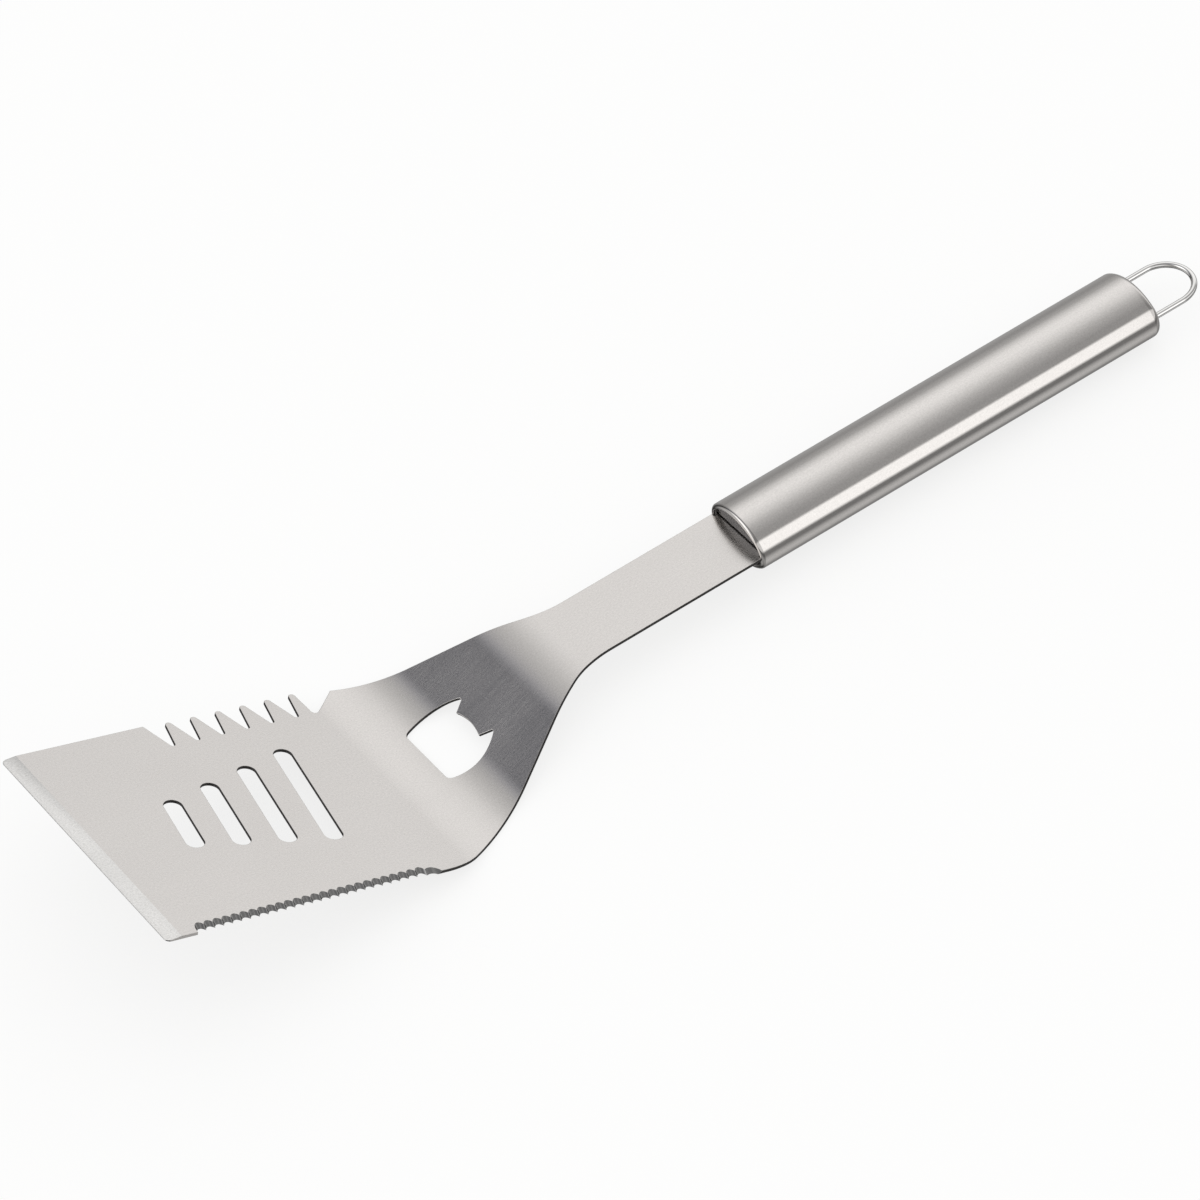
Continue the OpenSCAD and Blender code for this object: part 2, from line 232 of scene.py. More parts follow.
def arc(cx, cy, r, a0, a1, step=6.0):
    """Points round a centre from angle a0 to a1, about step degrees apart."""
    n = max(2, int(math.ceil(abs(a1 - a0) / step)))
    angles = [math.radians(a) for a in np.linspace(a0, a1, n + 1)]
    return [(cx + r * math.cos(a), cy + r * math.sin(a)) for a in angles]


def corner(a, b, c, r, steps=28):
    """Points of the arc of radius r that rounds the corner b of the line a, b, c."""
    a, b, c = np.array(a), np.array(b), np.array(c)
    u = (a - b) / np.hypot(*(a - b))
    w = (c - b) / np.hypot(*(c - b))
    half = math.acos(u @ w) / 2
    mid = b + (u + w) / np.hypot(*(u + w)) * r / math.sin(half)
    x, y = b + u * r / math.tan(half) - mid
    side = -1 if u[0] * w[1] - u[1] * w[0] > 0 else 1
    turn = side * (math.pi - 2 * half)
    out = []
    for i in range(steps + 1):
        cos, sin = math.cos(turn * i / steps), math.sin(turn * i / steps)
        out.append(tuple(mid + [x * cos - y * sin, x * sin + y * cos]))
    return out


def s_from_slope(x, slope, s_origin):
    """Length along the sheet of the point at a distance x from s_origin, on a line of that slope."""
    return np.interp(x, (P_TABLE - point_at(s_origin)) @ along(slope), S_TABLE)


def side_curve():
    """The left side of the sheet without teeth, from the straight side of the blade to the shank."""
    def taper_x(s):
        return float((point_at(s) - point_at(NECK_S)) @ along(TAPER_SLOPE))
    start = (taper_x(ON_STRAIGHT_S), HALF_W)
    shoulder = (taper_x(SHOULDER_S), HALF_W)
    waist = (taper_x(TAPER_END_S), SHANK_W / 2)
    end = (taper_x(SHANK_END_S), SHANK_W / 2)
    plan = corner(start, shoulder, waist, SHOULDER_R) + corner(shoulder, waist, end, TAPER_R)
    return [(float(s_from_slope(x, TAPER_SLOPE, NECK_S)), y) for x, y in plan]


def tooth_side():
    """Saw teeth, from the edge of the blade to where the last gap meets the shoulder."""
    past_edge, reach, clear = 2.0, 20.0, 0.15
    tip_y = HALF_W - TIP_INSET - TIP_R
    gap_y = HALF_W - GAP_DEPTH + GAP_R
    v = (PITCH / 2, gap_y - tip_y)
    flank = math.degrees(math.atan2(v[1], v[0]) + math.acos((TIP_R + GAP_R) / math.hypot(*v)))
    foot = np.array([FIRST_GAP, gap_y]) - GAP_R * along(flank)
    run = (HALF_W + past_edge - gap_y) * math.tan(math.radians(flank))
    lean = run / (HALF_W + past_edge - foot[1])
    teeth = [(foot[0] - lean * (HALF_W - foot[1]), HALF_W)]
    for i in range(TEETH):
        teeth += arc(FIRST_GAP + i * PITCH, gap_y, GAP_R, 180 + flank, 360 - flank, TOOTH_STEP)
        teeth += arc(FIRST_GAP + (i + 0.5) * PITCH, tip_y, TIP_R, 180 - flank, flank, TOOTH_STEP)
    last_x = FIRST_GAP + TEETH * PITCH - OPEN_GAP_LEAD
    last_y = gap_y - GAP_R + OPEN_GAP_R
    teeth += arc(last_x, last_y, OPEN_GAP_R, 180, 270 + OPEN_SLOPE, TOOTH_STEP)
    side = side_curve()
    side_s, side_y = zip(*side)
    line = teeth[-1] + np.linspace(0, reach, 4001)[:, None] * along(OPEN_SLOPE)
    line_s = s_from_slope(line[:, 0], 0, 0)
    meets = float(line_s[np.argmax(line[:, 1] >= np.interp(line_s, side_s, side_y))])
    flat = [(float(s_from_slope(x, 0, 0)), y) for x, y in teeth]
    flat.append((meets, float(np.interp(meets, side_s, side_y))))
    return flat + [p for p in side if p[0] > meets + clear]


def outline():
    """Counter-clockwise: the right side to the rear, then the left side to the front."""
    front = arc(CORNER_R, HALF_W - CORNER_R, CORNER_R, 180, 90)
    rear = [(SHANK_END_S, SHANK_W / 2), (SHANK_END_S, TANG_W / 2), (SHEET_END_S, TANG_W / 2)]
    left = front + tooth_side() + rear
    right = front + side_curve() + rear
    return [(s, -y) for s, y in right] + left[::-1]


def slot_hole(i):
    """A slot with round ends, leaning across the blade."""
    length = SLOT_L + i * SLOT_GROWTH
    run = (length - SLOT_W) / 2
    ring = arc(0, run, SLOT_W / 2, 0, 180) + arc(0, -run, SLOT_W / 2, 180, 360)
    ux, uy = along(SLANT)
    return [(SLOT_X + i * SLOT_PITCH + x * ux + y * uy, y * ux - x * uy) for x, y in ring]


def opener_hole():
    """The bottle opener: a straight front, two bowed sides, and a hollow lip between two ears."""
    bow_y = SIDE_BOW_R - OPENER_W / 2
    reach, dx = SIDE_BOW_R - OPENER_CORNER_R, WIDEST_X - OPENER_CORNER_R
    corner_y = math.sqrt(reach ** 2 - dx ** 2) - bow_y
    touch = math.degrees(math.atan2(corner_y + bow_y, -dx))
    end = math.degrees(math.acos((OPENER_L - WIDEST_X) / SIDE_BOW_R))
    root, lip_x = LIP_W / 2, OPENER_L - EAR_L
    ear_y = root + EAR_L * math.tan(math.radians(EAR_LEAN))
    hollow_r = (root ** 2 + LIP_HOLLOW ** 2) / (2 * LIP_HOLLOW)
    half_angle = math.degrees(math.asin(root / hollow_r))
    upper = arc(OPENER_CORNER_R, corner_y, OPENER_CORNER_R, 180, touch, 8)
    upper += arc(WIDEST_X, -bow_y, SIDE_BOW_R, touch, end, 2.5)[1:]
    upper += [(OPENER_L, ear_y)]
    lip = arc(lip_x + LIP_HOLLOW - hollow_r, 0, hollow_r, half_angle, -half_angle, 1.5)
    ring = upper + lip + [(x, -y) for x, y in upper[::-1]]
    centre_s = OPENER_S + OPENER_L / 2
    slope = slope_at(centre_s)
    return [(float(s_from_slope(x - OPENER_L / 2, slope, centre_s)), y) for x, y in ring]


# ---- the sheet as a mesh ----

EDGE_R = 0.16            # rounding of the cut edges
EDGE_SHARE = 0.4         # the rounding takes no more than this share of a thin edge
EDGE_STEPS = 4
BEND1_STEPS = 72
BEND2_STEPS = 44
# Places along the sheet where its faces are divided, so that the bends are round
STATIONS = ([BEVEL_L] + list(np.linspace(BLADE_L, NECK_S, BEND1_STEPS + 1))
            + list(np.linspace(BEND2_S, SHANK_S, BEND2_STEPS + 1)))
LEAST_GAP = 0.012        # points of a loop closer than this are one
NEAR = 0.005             # a point this close to a station counts as on it
WELD = 0.001             # corners of the cut mesh closer than this are one
HAIR = 1e-6
WHEEL_DEPTH = 16.0


def clean(loop):
    """The loop without points that are too close to the one before."""
    out = []
    for p in loop:
        if not out or math.dist(p, out[-1]) > LEAST_GAP:
            out.append(tuple(map(float, p)))
    if math.dist(out[0], out[-1]) <= LEAST_GAP:
        out.pop()
    return out


def metal_on_left(loop, hole):
    """The loop turned so that the metal is on its left."""
    p = np.array(loop)
    area = (p[:, 0] * np.roll(p[:, 1], -1) - np.roll(p[:, 0], -1) * p[:, 1]).sum()
    return loop if (area < 0) == hole else loop[::-1]


def outward(loop):
    """Mitred unit offsets away from the metal, which lies to the left of the loop's direction."""
    p = np.array(loop)
    d1, d2 = p - np.roll(p, 1, 0), np.roll(p, -1, 0) - p
    d1, d2 = d1 / np.hypot(*d1.T)[:, None], d2 / np.hypot(*d2.T)[:, None]
    n1 = np.stack([d1[:, 1], -d1[:, 0]], 1)
    n2 = np.stack([d2[:, 1], -d2[:, 0]], 1)
    middle = n1 + n2
    middle /= np.hypot(*middle.T)[:, None]
    sharpest = 0.35
    return middle / np.maximum((middle * n1).sum(1), sharpest)[:, None]


def split_at_stations(loop):
    """Adds a point wherever a loop crosses a station, and says which station each point is on."""
    points, station = [], []
    for a, b in zip(loop, loop[1:] + loop[:1]):
        points.append(a)
        station.append(next((k for k, s in enumerate(STATIONS) if abs(a[0] - s) <= NEAR), -1))
        low, high = min(a[0], b[0]), max(a[0], b[0])
        cuts = [(abs(s - a[0]), k, s) for k, s in enumerate(STATIONS) if low + NEAR < s < high - NEAR]
        for _, k, s in sorted(cuts):
            t = (s - a[0]) / (b[0] - a[0])
            points.append((s, a[1] + t * (b[1] - a[1])))
            station.append(k)
    return points, station


def inside(points, loops):
    """Even-odd test of points against all the loops together."""
    x, y = points[:, 0], points[:, 1]
    odd = np.zeros(len(points), bool)
    for loop in loops:
        p = np.array(loop)
        for (x0, y0), (x1, y1) in zip(p, np.roll(p, -1, 0)):
            if y0 != y1:
                odd ^= ((y0 > y) != (y1 > y)) & (x < (x1 - x0) * (y - y0) / (y1 - y0) + x0)
    return odd


def station_edges(points, station, loops):
    """Edges over the metal along each station, from one point on it to the next."""
    edges = []
    for k, s in enumerate(STATIONS):
        on = sorted((points[i][1], i) for i in range(len(points)) if station[i] == k)
        for (y0, i), (y1, j) in zip(on, on[1:]):
            middle = np.array([[s + HAIR, (y0 + y1) / 2]])
            if y1 - y0 > HAIR and inside(middle, loops)[0]:
                edges.append((i, j))
    return edges


def triangles(points, edges, loops):
    """Triangles of the metal that keep the given edges, all facing up."""
    verts, _, faces, origin, _, _ = delaunay_2d_cdt([Vector(p) for p in points], edges, [], 0, 1e-7)
    flat = np.array([(v.x, v.y) for v in verts])
    tri = np.array(list(faces))
    tri = tri[inside(flat[tri].mean(1), loops)]
    source = np.array([o[0] if o else -1 for o in origin])
    tri = source[tri]
    tri = tri[tri.min(1) >= 0]
    a, b, c = (np.array(points)[tri[:, k]] for k in range(3))
    down = (b - a)[:, 0] * (c - a)[:, 1] < (b - a)[:, 1] * (c - a)[:, 0]
    tri[down] = tri[down][:, ::-1]
    return tri


def edge_layers(flat, normal):
    """The points at each height of the rounded edge, from the top face down to the bottom face."""
    top = np.minimum(SHEET_T, BEVEL_T + (SHEET_T - BEVEL_T) * flat[:, 0] / BEVEL_L)
    drop = np.minimum(EDGE_R, EDGE_SHARE * top)
    angles = [math.radians(90.0 * k / EDGE_STEPS) for k in range(EDGE_STEPS + 1)]
    upper = [(flat + normal * EDGE_R * math.sin(a), top - drop * (1 - math.cos(a))) for a in angles]
    lower = [(flat + normal * EDGE_R * math.sin(a), drop * (1 - math.cos(a))) for a in angles[::-1]]
    return [np.column_stack(layer) for layer in upper + lower]


def flat_sheet():
    """The flat sheet in mm, with rounded edges and the bevel, divided along the stations."""
    loops = [outline()] + [slot_hole(i) for i in range(SLOTS)] + [opener_hole()]
    points, station, edges, rings, spans = [], [], [], [], []
    for k, loop in enumerate(loops):
        loop = metal_on_left(clean(loop), hole=k > 0)
        drawn_in = [tuple(p) for p in np.array(loop) - EDGE_R * outward(loop)]
        ring, on = split_at_stations(drawn_in)
        first, count = len(points), len(ring)
        spans.append((first, count))
        edges += [(first + i, first + (i + 1) % count) for i in range(count)]
        rings.append(ring)
        points += ring
        station += on
    tri = triangles(points, edges + station_edges(points, station, rings), rings)
    layers = edge_layers(np.array(points), np.vstack([outward(ring) for ring in rings]))
    n = len(points)
    last = (len(layers) - 1) * n
    faces = [tuple(t) for t in tri] + [tuple(t[::-1] + last) for t in tri]
    for k in range(len(layers) - 1):
        for first, count in spans:
            for i in range(count):
                p, q = k * n + first + i, k * n + first + (i + 1) % count
                faces.append((q, p, p + n, q + n))
    return np.vstack(layers), faces


def new_mesh(name, verts, faces):
    mesh = bpy.data.meshes.new(name)
    mesh.from_pydata([tuple(map(float, v)) for v in verts], [], [tuple(map(int, f)) for f in faces])
    mesh.validate()
    return mesh


def new_piece(name, mesh):
    obj = bpy.data.objects.new(name, mesh)
    bpy.context.scene.collection.objects.link(obj)
    return obj


def grinding_wheel(group, i, inset, radius, sides):
    """The wheel that grinds hollow number i, in the flat sheet's coordinates in mm."""
    bm = bmesh.new()
    bmesh.ops.create_cone(bm, cap_ends=True, segments=sides, radius1=radius, radius2=radius,
                          depth=WHEEL_DEPTH)
    where = (SCALLOP_X + (i + 0.5) * SCALLOP_PITCH, inset - HALF_W, SHEET_T)
    lean = Matrix.Rotation(math.radians(90 + SCALLOP_SLOPE), 4, "X")
    bm.transform(Matrix.Translation(where) @ lean @ Matrix.Translation((0, radius, 0)))
    mesh = bpy.data.meshes.new("wheel")
    bm.to_mesh(mesh)
    bm.free()
    group.objects.link(bpy.data.objects.new(f"wheel_{i}", mesh))


def ground(obj):
    """The mesh of the flat sheet with the scallops ground into it."""
    group = bpy.data.collections.new("cutters")
    bpy.context.scene.collection.children.link(group)
    for i in range(SCALLOPS):
        grinding_wheel(group, i, SCALLOP_INSET, SCALLOP_R, 64)
    grinding_wheel(group, SCALLOPS, RUNOUT_INSET, RUNOUT_R, 128)
    cut = obj.modifiers.new("scallops", "BOOLEAN")
    cut.operation = "DIFFERENCE"
    cut.solver = "EXACT"
    cut.operand_type = "COLLECTION"
    cut.collection = group
    mesh = bpy.data.meshes.new_from_object(obj.evaluated_get(bpy.context.evaluated_depsgraph_get()))
    obj.modifiers.clear()
    for wheel in list(group.objects):
        bpy.data.objects.remove(wheel)
    bpy.data.collections.remove(group)
    return mesh


# Which steel a face of the sheet gets, by the order of the materials on it; the cut edges and the scallops
# get steels darkened with painted shade
SATIN, CUT_EDGE, GROUND, BEVEL = range(4)
ROW_END = SCALLOP_X + (SCALLOPS + 2) * SCALLOP_PITCH
FRONT_LINE = 0.3         # faces nearer than this to the front edge belong to the bevel
LEVEL = 0.9995           # a face of the flat sheet whose normal is this upright is level
EDGE_TURN = math.radians(28)


def surface_of(face):
    """The steel of a face of the flat sheet, from where it is and which way it faces; some of these steels
    carry painted shade.
    """
    s, y, _ = face.calc_center_median()
    from_right = y + HALF_W
    up = face.normal.z
    if 0.2 < up < 0.985 and from_right < SCALLOP_INSET + 0.1 and SCALLOP_X - 1 < s < ROW_END:
        return GROUND
    if s < FRONT_LINE or 0.9 < up < 0.995 and s < BEVEL_L:
        return BEVEL
    if abs(up) < 0.75 and not (from_right < 0.1 and s < SCALLOP_X):
        return CUT_EDGE
    return SATIN


def sheet_normal(s):
    """The upward normal of the bent sheet at rest. The plain average leans at the ends of the bends."""
    up = above(slope_at(s))
    return Vector((up @ along(TILT), 0.0, up @ above(TILT)))


def lay_grain(bm):
    """Marks each face with its steel, and lays the brushing on it in metres of the flat sheet."""
    uv = bm.loops.layers.uv.new("grain")
    for face in bm.faces:
        face.smooth = True
        face.material_index = surface_of(face)
        upright = abs(face.normal.z) < 0.5
        for loop in face.loops:
            x, y, z = loop.vert.co
            loop[uv].uv = (x * MM, (y + (z if upright else 0)) * MM)


def bend(bm):
    """Bends the flat sheet, lays it at rest, and gives the normals of its level faces."""
    normals = []
    for face in bm.faces:
        flat = abs(face.normal.z) > LEVEL
        side = math.copysign(1.0, face.normal.z)
        normals += [sheet_normal(v.co.x) * side if flat else Vector() for v in face.verts]
    for edge in bm.edges:
        level = [abs(face.normal.z) > LEVEL for face in edge.link_faces]
        edge.smooth = all(level) or not any(level) and edge.calc_face_angle(0.0) < EDGE_TURN
    for v in bm.verts:
        s, y, h = v.co
        p = point_at(s) + (h - HALF_T) * above(slope_at(s))
        v.co = at_rest(p[0], y, p[1])
    return normals


def make_blade():
    """The sheet: drawn flat, ground, given its steels and then bent."""
    obj = new_piece("blade_sheet", new_mesh("blade_sheet", *flat_sheet()))
    mesh = ground(obj)
    bm = bmesh.new()
    bm.from_mesh(mesh)
    bmesh.ops.remove_doubles(bm, verts=bm.verts, dist=WELD)
    lay_grain(bm)
    bm.normal_update()
    normals = bend(bm)
    bm.to_mesh(mesh)
    bm.free()
    mesh.normals_split_custom_set(normals)
    obj.data = mesh
    return obj


# ---- the handle: an oval of four arcs, which meet on the diagonals of 3-4-5 triangles ----

ARC_GAP = (HANDLE_W - HANDLE_H) / 0.8
SIDE_C = 0.6 * ARC_GAP
CROWN_C = 0.8 * ARC_GAP
SIDE_R = HANDLE_H / 2 - 0.2 * ARC_GAP
CROWN_R = SIDE_R + ARC_GAP
SIDE_TURN = math.degrees(math.atan2(4, 3))
SIDE_STEPS = 30
CROWN_STEPS = 34


def oval(inset):
    """Points of the oval drawn in by an inset, as (x up, y left), the same number for every inset."""
    side = np.radians(np.linspace(-SIDE_TURN, SIDE_TURN, SIDE_STEPS + 1)[:-1])
    crown = np.radians(np.linspace(SIDE_TURN, 180 - SIDE_TURN, CROWN_STEPS + 1)[:-1])
    half = [(SIDE_C + (SIDE_R - inset) * math.cos(a), (SIDE_R - inset) * math.sin(a)) for a in side]
    half += [((CROWN_R - inset) * math.cos(a), (CROWN_R - inset) * math.sin(a) - CROWN_C) for a in crown]
    return [(up, left) for left, up in half] + [(-up, -left) for left, up in half]


def ring_mesh(name, rings, pairs, filled=()):
    """Joins rings of points by bands between the given pairs, and fills some of the rings."""
    n = len(rings[0])
    faces = [(k * n + i, k * n + (i + 1) % n, m * n + (i + 1) % n, m * n + i)
             for k, m in pairs for i in range(n)]
    faces += [tuple(range(k * n, k * n + n)) for k in filled]
    mesh = new_mesh(name, [p for ring in rings for p in ring], faces)
    bm = bmesh.new()
    bm.from_mesh(mesh)
    bmesh.ops.recalc_face_normals(bm, faces=bm.faces)
    bm.to_mesh(mesh)
    bm.free()
    mesh.polygons.foreach_set("use_smooth", [True] * len(mesh.polygons))
    mesh.set_sharp_from_angle(angle=math.radians(40))
    return mesh


def sweep_oval(name, profile, opening=None):
    """Sweeps a closed run of (inset, distance) points round the oval. After the point numbered
    opening the run jumps across the axis, and both sides of the jump are filled."""
    rings = [[on_handle(x, y, z) for x, y in oval(inset)] for inset, z in profile]
    last = len(rings)
    pairs = [(k, (k + 1) % last) for k in range(last) if k != opening]
    return ring_mesh(name, rings, pairs, () if opening is None else (opening, opening + 1))


def arc_profile(inset, z, r, a0, a1, steps):
    """Part of a circle in the profile: 180 degrees is the outer side, 270 the front, 90 the rear."""
    angles = [math.radians(a) for a in np.linspace(a0, a1, steps + 1)]
    return [(inset + r * math.cos(a), z + r * math.sin(a)) for a in angles]


def make_tube():
    """The tube, with its front rim turned in to a round lip."""
    lip_r = WALL_T / 2
    inner = [(WALL_T, z) for z in np.linspace(TUBE_L, RIM_R, 12)[:-1]]
    rim = arc_profile(RIM_R, RIM_R, RIM_R - WALL_T, 180, 270, 10)
    rim += arc_profile(RIM_R, lip_r, lip_r, 90, -90, 12)[1:]
    rim += arc_profile(RIM_R, RIM_R, RIM_R, 270, 180, 18)[1:]
    outer = [(0.0, z) for z in np.linspace(RIM_R, TUBE_L, 28)[1:]]
    return new_piece("handle_barrel", sweep_oval("tube", inner + rim + outer))


def make_cap():
    """The cup at the rear of the tube, with a flat end."""
    round_z = HANDLE_L - CAP_R
    flat = [CAP_R + (SIDE_R - CAP_R) * t for t in (0.4, 0.8)]
    outer = [(0.0, TUBE_L), (0.0, (TUBE_L + round_z) / 2)]
    outer += arc_profile(CAP_R, round_z, CAP_R, 180, 90, 24)
    outer += [(inset, HANDLE_L) for inset in flat]
    inner = [(inset, HANDLE_L - WALL_T) for inset in flat[::-1]]
    inner += arc_profile(CAP_R, round_z, CAP_R - WALL_T, 90, 180, 14)
    inner += [(WALL_T, TUBE_L)]
    obj = new_piece("handle_cap", sweep_oval("cap", outer + inner, opening=len(outer) - 1))
    weighted = obj.modifiers.new("even_flats", "WEIGHTED_NORMAL")
    weighted.weight = 90
    weighted.keep_sharp = True
    return obj


def wire_ring(y, z, turn, sides=40):
    """A section of the wire. turn is 0 on the right leg and 180 on the left one."""
    out = along(turn) * WIRE_D / 2
    ring = []
    for k in range(sides):
        across, up = along(360 * k / sides)
        ring.append(on_handle(WIRE_D / 2 * up, y - out[0] * across, z + out[1] * across))
    return ring


def make_loop():
    """The bent wire: a leg, half a turn and a leg."""
    r = LOOP_W / 2
    legs = np.linspace(HANDLE_L - LEG_INSIDE, LOOP_MID, 12)
    rings = [wire_ring(-r, z, 0) for z in legs[:-1]]
    for a in np.linspace(0, 180, 91):
        y, z = r * along(a)
        rings.append(wire_ring(-y, LOOP_MID + z, a))
    rings += [wire_ring(r, z, 180) for z in legs[::-1][1:]]
    last = len(rings) - 1
    pairs = [(k, k + 1) for k in range(last)]
    return new_piece("wire_loop", ring_mesh("loop", rings, pairs, filled=(0, last)))


# ---- materials ----

class Nodes:
    """Short hand for building a node tree."""

    def __init__(self, tree):
        self.tree = tree
        tree.nodes.clear()

    def add(self, kind, inputs=None, **props):
        node = self.tree.nodes.new(kind)
        for key, value in props.items():
            setattr(node, key, value)
        for key, value in (inputs or {}).items():
            self.feed(node.inputs[key], value)
        return node

    def feed(self, socket, value):
        if isinstance(value, bpy.types.NodeSocket):
            self.tree.links.new(value, socket)
        else:
            socket.default_value = value

    def math(self, op, a, b=0.0, clamp=False):
        return self.add("ShaderNodeMath", {0: a, 1: b}, operation=op, use_clamp=clamp).outputs[0]

    def times(self, a, b):
        return self.math("MULTIPLY", a, b)

    def total(self, *values):
        """The sum of the values."""
        out = values[0]
        for value in values[1:]:
            out = self.math("ADD", out, value)
        return out

    def swing(self, noise, amount):
        """The noise round zero, times an amount."""
        return self.times(self.math("SUBTRACT", noise, 0.5), amount)

    def remap(self, value, a, b, c, d, how="LINEAR"):
        inputs = {"Value": value, "From Min": a, "From Max": b, "To Min": c, "To Max": d}
        return self.add("ShaderNodeMapRange", inputs, interpolation_type=how).outputs["Result"]

    def mix(self, factor, low, high):
        """A colour between low and high, which are red, green and blue."""
        node = self.add("ShaderNodeMix", data_type="RGBA")
        self.feed(node.inputs[0], factor)
        self.feed(node.inputs[6], (*low, 1.0))
        self.feed(node.inputs[7], (*high, 1.0))
        return node.outputs[2]

    def close(self, kind, shader):
        """Links the shader to the output of the tree."""
        self.tree.links.new(shader.outputs[0], self.add(kind).inputs[0])


def steel(name, colour, rough, uv=None, grain=(120, 7000), streak=(14, 900), bump=0.5, wear=1.0):
    """Brushed steel. grain and streak are cycles per metre along and across the brushing."""
    mat = bpy.data.materials.new(name)
    mat.use_nodes = True
    n = Nodes(mat.node_tree)
    if uv:
        place = n.add("ShaderNodeUVMap", uv_map=uv).outputs["UV"]
        turn = (0, 0, 0)
    else:
        place = n.add("ShaderNodeTexCoord").outputs["Object"]
        turn = (0, math.radians(SHANK_ANGLE - TILT), 0)

    def noise(lengthwise, across, detail, roughness):
        scale = {"Vector": place, "Scale": (lengthwise, across, across), "Rotation": turn}
        vector = n.add("ShaderNodeMapping", scale).outputs["Vector"]
        inputs = {"Vector": vector, "Scale": 1.0, "Detail": detail, "Roughness": roughness}
        return n.add("ShaderNodeTexNoise", inputs).outputs["Fac"]

    fine = noise(*grain, 3.0, 0.6)
    lines = noise(*streak, 4.0, 0.65)
    bands = noise(streak[0] * 0.4, streak[1] * 0.2, 2.0, 0.5)
    cloud = noise(22, 30, 3.0, 0.55)
    speck = noise(1300, 1500, 2.0, 0.6)
    tone = n.total(n.swing(lines, 0.10 * wear), n.swing(cloud, 0.05 * wear),
                   n.swing(bands, 0.05 * wear), 0.5, n.swing(speck, 0.9 * wear))
    base = n.mix(tone, [c * 0.86 for c in colour], [min(1.0, c * 1.14) for c in colour])
    uneven = n.total(n.swing(fine, 0.10), n.swing(cloud, 0.12 * wear), n.swing(lines, 0.08),
                     n.swing(speck, 0.06 * wear))
    roughness = n.math("ADD", uneven, rough, clamp=True)
    height = n.total(n.times(fine, 0.6), n.times(lines, 0.4), n.times(speck, 0.25 * wear))
    relief = n.add("ShaderNodeBump", {"Strength": bump, "Distance": 0.000012, "Height": height})
    n.close("ShaderNodeOutputMaterial", n.add("ShaderNodeBsdfPrincipled", {
        "Base Color": base, "Metallic": 1.0, "Roughness": roughness, "Normal": relief.outputs["Normal"]}))
    return mat


WARM = (0.665, 0.640, 0.618)
BLADE_STEEL = steel("satin_sheet", WARM, 0.24, uv="grain", grain=(260, 2600), bump=0.08, wear=1.2)
# The cut edges are painted near black: painted shade and dark reflection on the thin cut walls.
EDGE_SHADE_STEEL = steel("cut_edge_painted_shade", (0.075, 0.07, 0.068), 0.40, uv="grain", grain=(900, 900),
                   streak=(300, 300), bump=0.6)
# The scallops keep a ground grain of their own, and their steel is painted darker: a painted dark reflection
# of their facets.
SCALLOP_SHADE_STEEL = steel("ground_scallops_painted_shade", (0.42, 0.415, 0.41), 0.22, uv="grain", grain=(4000, 900),
                     streak=(1800, 120), bump=0.5)
BEVEL_STEEL = steel("ground_bevel", (0.69, 0.68, 0.665), 0.27, uv="grain", grain=(900, 2600),
                    streak=(260, 120), bump=0.6, wear=2.6)
TUBE_STEEL = steel("brushed_tube", WARM, 0.10, grain=(60, 6000), streak=(6, 700), bump=0.22)
CAP_STEEL = steel("brushed_cap", WARM, 0.13, grain=(300, 3000), streak=(60, 500), bump=0.25)
WIRE = steel("polished_wire", (0.80, 0.79, 0.775), 0.04, grain=(900, 900), streak=(90, 300),
             bump=0.03, wear=0.5)
# The front plate is painted dark grey: painted shade of its recess inside the tube, on a dull steel whose
# roughness is real.
PLATE_SHADE_STEEL = steel("dull_plate_painted_shade", (0.33, 0.32, 0.315), 0.36, grain=(900, 900), streak=(200, 400),
                    bump=0.4, wear=1.6)
WELD_STEEL = steel("weld_bead", (0.06, 0.055, 0.05), 0.55, grain=(1500, 1500), streak=(400, 600),
                   bump=0.8, wear=2.0)

# ---- pieces ----

PIECES = [
    (make_blade(), "blade", "satin_steel", (BLADE_STEEL, EDGE_SHADE_STEEL, SCALLOP_SHADE_STEEL, BEVEL_STEEL)),
    (make_tube(), "handle_tube", "brushed_tube", (TUBE_STEEL,)),
    (make_cap(), "end_cap", "brushed_tube", (CAP_STEEL,)),
    (make_loop(), "hanging_loop", "polished_wire", (WIRE,)),
]
for piece, node, slot, materials in PIECES:
    for material in materials:
        piece.data.materials.append(material)
    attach(piece, "root")
    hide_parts(node)

for node, material in (("front_plate", PLATE_SHADE_STEEL), ("front_welds", WELD_STEEL), ("rear_welds", WELD_STEEL)):
    frame["nodes"][node].data.materials.clear()
    frame["nodes"][node].data.materials.append(material)

# ---- floor: matt, with a faint glow, and not seen in the steel ----

FLOOR_HALF = 6.0
floor = new_piece("floor", new_mesh("floor", [
    (-FLOOR_HALF, -FLOOR_HALF, 0), (FLOOR_HALF, -FLOOR_HALF, 0),
    (FLOOR_HALF, FLOOR_HALF, 0), (-FLOOR_HALF, FLOOR_HALF, 0)], [(0, 1, 2, 3)]))
floor.visible_glossy = False
pale = bpy.data.materials.new("pale_floor")
pale.use_nodes = True
floor_nodes = Nodes(pale.node_tree)
matt = floor_nodes.add("ShaderNodeBsdfDiffuse", {"Color": (0.20, 0.20, 0.20, 1.0)})
glow = floor_nodes.add("ShaderNodeEmission", {"Color": (0.785, 0.785, 0.782, 1.0), "Strength": 1.0})
both = floor_nodes.add("ShaderNodeAddShader", {0: matt.outputs[0], 1: glow.outputs[0]})
floor_nodes.close("ShaderNodeOutputMaterial", both)
floor.data.materials.append(pale)

# ---- studio light: soft panels round the tool, seen in the steel; an even dome lights the floor ----

